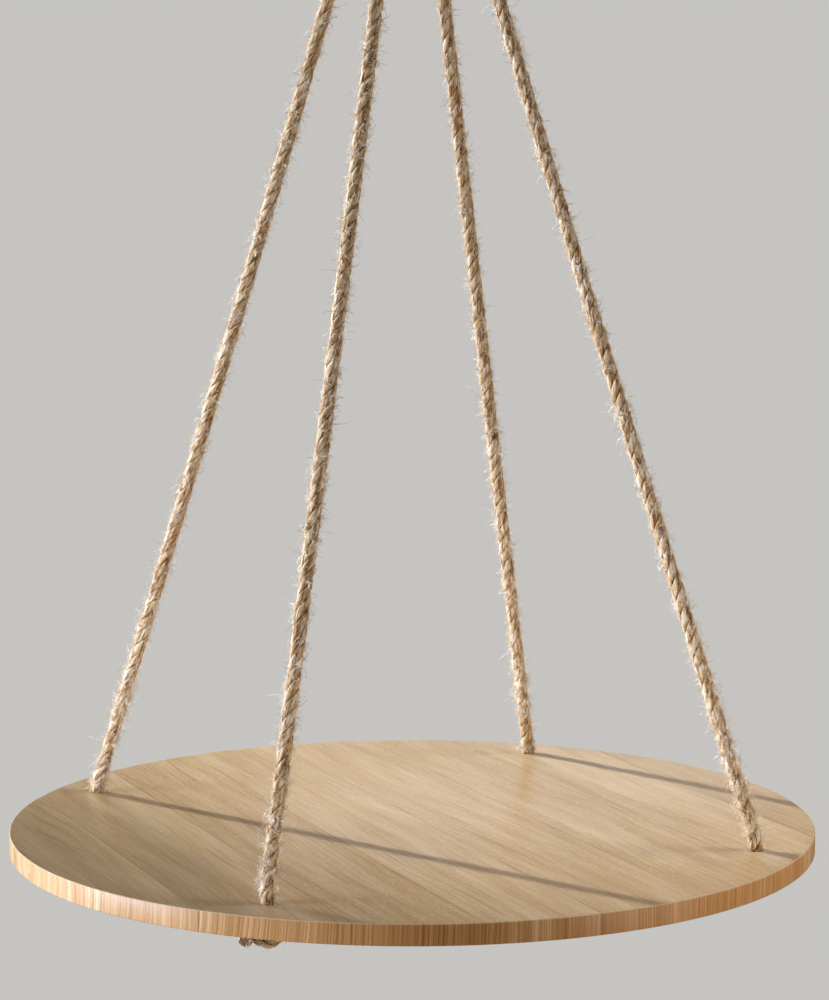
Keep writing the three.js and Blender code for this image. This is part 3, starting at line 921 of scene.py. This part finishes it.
def staveMesh(name, left, right):
    # rings of points at every level, skinned into walls, with the two flat faces filled
    bm = bmesh.new()
    centres = [holeCentre(angle) for angle in legAngles.values()]
    holes = [centre for centre in centres if left < centre[0] < right]
    rings = []
    count = None
    for height, inward in levels():
        radius = board["radius"] - inward
        a, b = max(left, -radius), min(right, radius)
        farLeft, farRight = math.acos(a / radius), math.acos(b / radius)
        if count is None:
            count = max(3, round(math.degrees(farLeft - farRight) / board["rimStep"]))
        turns = np.linspace(farRight, farLeft, count + 1)
        arcs = []
        for side, wearStart in ((1, 0), (-1, 3)):
            reach = radius - rimWear(turns + wearStart) * (inward / board["arris"])
            arcs.append(np.stack([reach * np.cos(turns), side * reach * np.sin(turns)], 1))
        backArc, frontArc = arcs[0], arcs[1][::-1]
        backArc[0, 0] = frontArc[-1, 0] = b
        backArc[-1, 0] = frontArc[0, 0] = a
        outline = [*backArc, *(frontArc if a > -radius else frontArc[1:])]
        if b >= radius:
            outline = outline[:-1]
        ring = [[bm.verts.new((x, y, height)) for x, y in outline]]
        for centre in holes:
            mouth = centre[:2] + roundSection(board["holeRadius"] + inward, board["holeSides"])
            ring.append([bm.verts.new((x, y, height)) for x, y in mouth])
        rings.append(ring)
    for lower, upper in zip(rings, rings[1:]):
        for loopLow, loopHigh in zip(lower, upper):
            for i in range(len(loopLow)):
                j = (i + 1) % len(loopLow)
                bm.faces.new((loopLow[i], loopLow[j], loopHigh[j], loopHigh[i]))
    for ring in (rings[0], rings[-1]):
        edges = []
        for loop in ring:
            edges += [bm.edges.get((loop[i], loop[(i + 1) % len(loop)])) for i in range(len(loop))]
        bmesh.ops.triangle_fill(bm, edges=edges, use_beauty=True)
    mesh = bpy.data.meshes.new(name)
    bm.to_mesh(mesh)
    bm.free()
    smoothShading(mesh)
    return mesh


joints = [board["jointOffset"] + k * board["staveWidth"] for k in range(-3, 4)]
edges = [-board["radius"], *joints, board["radius"]]
half = board["glueLine"] / 2
for i, (left, right) in enumerate(zip(edges, edges[1:])):
    left = left + half if i > 0 else left
    right = right - half if i < len(joints) else right
    name = f"board_stave_{i + 1}"
    stave = addObject(name, staveMesh(name, left, right))
    finished(stave, "cradle", "wood", materials["wood"], f"stave_{i + 1}")
print("board laid up")


# Ring and screw hook

ring = {
    "radius": 23 * mm, "wire": 2.98 * mm, "height": -57.825 * mm, "steps": 120, "sides": 24,
    "weldBulge": 0.25 * mm, "weldReach": 1.3 * mm, "weldRipple": 0.3, "weldRipples": 90,
}
hook = {
    "wire": 3 * mm, "sides": 24, "stemTop": -2 * mm, "stemSteps": 4,
    "neckRadius": 6 * mm, "neckHeight": -6 * mm, "neckSteps": 14,
    "bowlRadius": 15 * mm, "bowlHeight": -26.125 * mm, "bowlSteps": 70, "tipAngle": 385, "tipSteps": 7,
    "collarRadius": 10 * mm, "collarThickness": 3 * mm, "collarEdge": 0.6 * mm, "collarSides": 64,
    "coreRadius": 2.1 * mm, "screwLength": 30 * mm, "pointLength": 6 * mm, "screwSides": 32,
    "threadPitch": 3 * mm, "threadDepth": 0.8 * mm, "threadSteps": 36,
    # the thread's section, from root to crest: outwards in shares of its depth, upwards in mm
    "threadCorners": ((-0.35, -0.75), (-0.35, 0.75), (0.78, 0.12), (0.78, -0.12)),
    "runOut": 1 / 12,  # of the thread's length, at each end
    "leastThread": (0.05, 0.4),  # what is left of its depth and of its thickness at the ends
}


def ringShell():
    turns = evenTurns(ring["steps"])
    radius = ring["radius"]
    line = np.stack([0 * turns, radius * np.cos(turns), ring["height"] + radius * np.sin(turns)], 1)
    # the butt weld stands a little proud, at the side where it doesn't rub
    away = np.minimum(np.abs(turns), 2 * np.pi - np.abs(turns)) * radius
    swell = ring["weldBulge"] * np.exp(-(away / ring["weldReach"]) ** 2)
    swell *= 1 + ring["weldRipple"] * np.sin(turns * ring["weldRipples"])
    return sweep(line, [roundSection(ring["wire"] + s, ring["sides"]) for s in swell], closed=True)


def arcPoints(radius, centre, turns):
    # an arc in the plane of X and Z round a centre on it
    x, z = centre
    return [(x + radius * math.cos(t), 0, z + radius * math.sin(t)) for t in turns]


def hookBody():
    wire, bowl, neck = hook["wire"], hook["bowlRadius"], hook["neckRadius"]
    neckTurn = math.acos(neck / (bowl + neck))
    stem = np.linspace(hook["stemTop"], hook["neckHeight"], hook["stemSteps"], endpoint=False)
    line = [(0, 0, z) for z in stem]
    turns = np.linspace(0, -neckTurn, hook["neckSteps"], endpoint=False)
    line += arcPoints(neck, (-neck, hook["neckHeight"]), turns)
    turns = np.linspace(math.pi - neckTurn, math.radians(hook["tipAngle"]), hook["bowlSteps"])
    line = np.array(line + arcPoints(bowl, (0, hook["bowlHeight"]), turns))
    # the end of the wire is ground round
    onward = unit(line[-1] - line[-2])
    caps = np.linspace(0, math.pi / 2 - 0.15, hook["tipSteps"])[1:]
    radii = [wire] * len(line) + [wire * math.cos(t) for t in caps]
    line = np.vstack([line] + [line[-1] + onward * wire * math.sin(t) for t in caps])
    return sweep(line, [roundSection(r, hook["sides"]) for r in radii])


def threadShell(core, straight):
    # a ridge with a sharp crest that runs out at both ends
    turns = straight / hook["threadPitch"] - 1
    count = int(turns * hook["threadSteps"])
    share = np.linspace(0, 1, count)
    angle = -2 * np.pi * turns * share
    leastDepth, leastThickness = hook["leastThread"]
    grow = np.clip(np.minimum(share, 1 - share) / hook["runOut"], leastDepth, 1)
    rise = hook["threadPitch"] * (1 + turns * share)
    verts, faces = [], []
    for z, a, g in zip(rise, angle, grow):
        out = np.array((math.cos(a), math.sin(a), 0))
        for reach, lift in hook["threadCorners"]:
            reach *= g if reach > 0 else 1
            up = z + mm * lift * max(g, leastThickness)
            verts.append(out * (core + hook["threadDepth"] * reach) + zAxis * up)
    for i in range(count - 1):
        faces += strip(4 * i, 4 * (i + 1), 4)
    faces += [(3, 2, 1, 0), tuple(4 * (count - 1) + j for j in range(4))]
    return np.array(verts), faces


def hookShells():
    r, h, e = hook["collarRadius"], hook["collarThickness"], hook["collarEdge"]
    arc = np.linspace(0, math.pi / 2, 4)
    collar = [(0, -h)] + [(r - e + e * math.sin(t), -h + e - e * math.cos(t)) for t in arc]
    collar += [(r - e + e * math.cos(t), -e + e * math.sin(t)) for t in arc] + [(0, 0)]
    core, length, point = hook["coreRadius"], hook["screwLength"], hook["pointLength"]
    straight = length - point
    # straight up to the point, which is a little rounded
    bolt = [(0, -h / 2), (core, -h / 2), (core, straight), (core * 0.55, straight + point * 0.55),
            (core * 0.12, length - 0.3 * mm), (0, length)]
    return [hookBody(), lathe(collar, hook["collarSides"]), lathe(bolt, hook["screwSides"]),
            threadShell(core, straight)]


for name, node, shells, body in (("hanging_ring_welded", "hanging_ring", [ringShell()], "ring"),
                                 ("ceiling_hook_turned", "ceiling_hook", hookShells(), "hook")):
    mesh = meshFrom(name, *joined(shells))
    smoothShading(mesh, 40)
    finished(addObject(name, mesh), body, "zinc", materials["zinc"], node)
print("hook and ring made")


# Stage: pale floor, soft light all round and cool daylight, low from the left

# where each lamp stands, seen from the spot that it is turned to, in degrees, metres and watts
lamps = {
    # its soft edge leaves the board's near left side in half shade
    "key": {"kind": "SPOT", "colour": "#EAF2FF", "target": (0.292, 0.598, -0.430),
            "azimuth": 122.78, "elevation": 16.33, "distance": 4.0, "power": 1770.0,
            "radius": 0.03, "cone": 25.1, "blend": 0.54},
    # low and broad, so it lights the ropes and the rim but hardly the top, and fades upwards
    "window": {"kind": "SPOT", "colour": "#D4E3FF", "target": (0, 0, -1.0),
               "azimuth": 169.0, "elevation": 0.0, "distance": 2.6, "power": 690.0,
               "radius": 0.4, "cone": 46.0, "blend": 1.0},
    # mirrored in the lacquer as a pale wash across the middle and the right
    "sheen": {"kind": "AREA", "colour": "#E6EEFF", "target": (0.18, -0.06, -0.985),
              "azimuth": 65.9, "elevation": 12.5, "distance": 2.5, "power": 1.35,
              "width": 1.1, "height": 0.2},
    # from above and the right, so the far side of the top is the brighter one
    "sky": {"kind": "AREA", "colour": "#FFFFFF", "target": (0.3, -0.13, -1.0),
            "azimuth": 336.0, "elevation": 55.0, "distance": 1.2, "power": 6.0,
            "width": 0.6, "height": 0.6},
    # for the rim's right side
    "fill": {"kind": "SPOT", "colour": "#FFFFFF", "target": (0.1, -0.25, -1.07),
             "azimuth": 304.0, "elevation": -3.0, "distance": 2.5, "power": 235.0,
             "radius": 0.3, "cone": 15.0, "blend": 1.0},
}
stage = {
    "ambient": 0.165,
    "ambientColour": "#FFF3E4",
    "floorHeight": -1.95,
    "floorSide": 60.0,
    "floorColour": "#DEDCD9",
    "backdropColour": "#C6C4C1",
    # the floor passes into the backdrop between these distances from the middle
    "glowReach": (0.6, 2.6),
    "leastGlow": 0.62,
}


def makeLamp(name, values):
    lamp = addObject(name, bpy.data.lights.new(name, values["kind"]))
    turn, lift = math.radians(values["azimuth"]), math.radians(values["elevation"])
    flat = math.cos(lift)
    towards = Vector((math.cos(turn) * flat, math.sin(turn) * flat, math.sin(lift)))
    lamp.location = Vector(values["target"]) + towards * values["distance"]
    lamp.rotation_euler = (-towards).to_track_quat("-Z", "Y").to_euler()
    lamp.visible_camera = False
    lamp.data.energy = values["power"]
    lamp.data.color = srgb(values["colour"])[:3]
    if values["kind"] == "SPOT":
        lamp.data.spot_size = math.radians(values["cone"])
        lamp.data.spot_blend = values["blend"]
        lamp.data.shadow_soft_size = values["radius"]
    else:
        lamp.data.shape = "ELLIPSE"
        lamp.data.size = values["width"]
        lamp.data.size_y = values["height"]


def makeWorld():
    # soft light from all round, but a pale grey backdrop for the camera
    world = bpy.data.worlds.new("studio")
    bpy.context.scene.world = world
    world.use_nodes = True
    world.node_tree.nodes.clear()
    add = partial(addNode, world.node_tree)
    rays = add("LightPath").outputs
    seen = add("Math MAXIMUM", [rays["Is Camera Ray"], rays["Is Transmission Ray"]])
    light = add("Background", [srgb(stage["ambientColour"]), stage["ambient"]])
    backdrop = add("Background", [srgb(stage["backdropColour"]), 1.0])
    mixed = add("MixShader", [seen, light, backdrop])
    add("OutputWorld", [mixed])


def makeFloor():
    # matt paint that keeps the shelf's shadow and passes into the backdrop further off
    half, height = stage["floorSide"] / 2, stage["floorHeight"]
    corners = [(-half, -half, height), (half, -half, height), (half, half, height), (-half, half, height)]
    floor = addObject("floor", meshFrom("floor", corners, [(0, 1, 2, 3)]))
    material, add = newMaterial("floor_matt_paint")
    place = add("TexCoord").outputs["Object"]
    flat = add("VectorMath MULTIPLY", [place, (1, 1, 0)])
    away = add("VectorMath LENGTH", [flat])
    far = add("MapRange", [away, *stage["glowReach"], stage["leastGlow"]])
    ray = add("LightPath").outputs["Is Camera Ray"]
    faded = add("Math MULTIPLY", [far, ray])
    paint = add("BsdfDiffuse", [srgb(stage["floorColour"])])
    glow = add("Emission", [srgb(stage["backdropColour"]), 1.0])
    mixed = add("MixShader", [faded, paint, glow])
    under = add("NewGeometry").outputs["Backfacing"]
    clear = add("BsdfTransparent")
    shown = add("MixShader", [under, mixed, clear])
    add("OutputMaterial", [shown])
    floor.data.materials.append(material)


for name, values in lamps.items():
    makeLamp(name, values)
makeWorld()
makeFloor()
print("stage set")
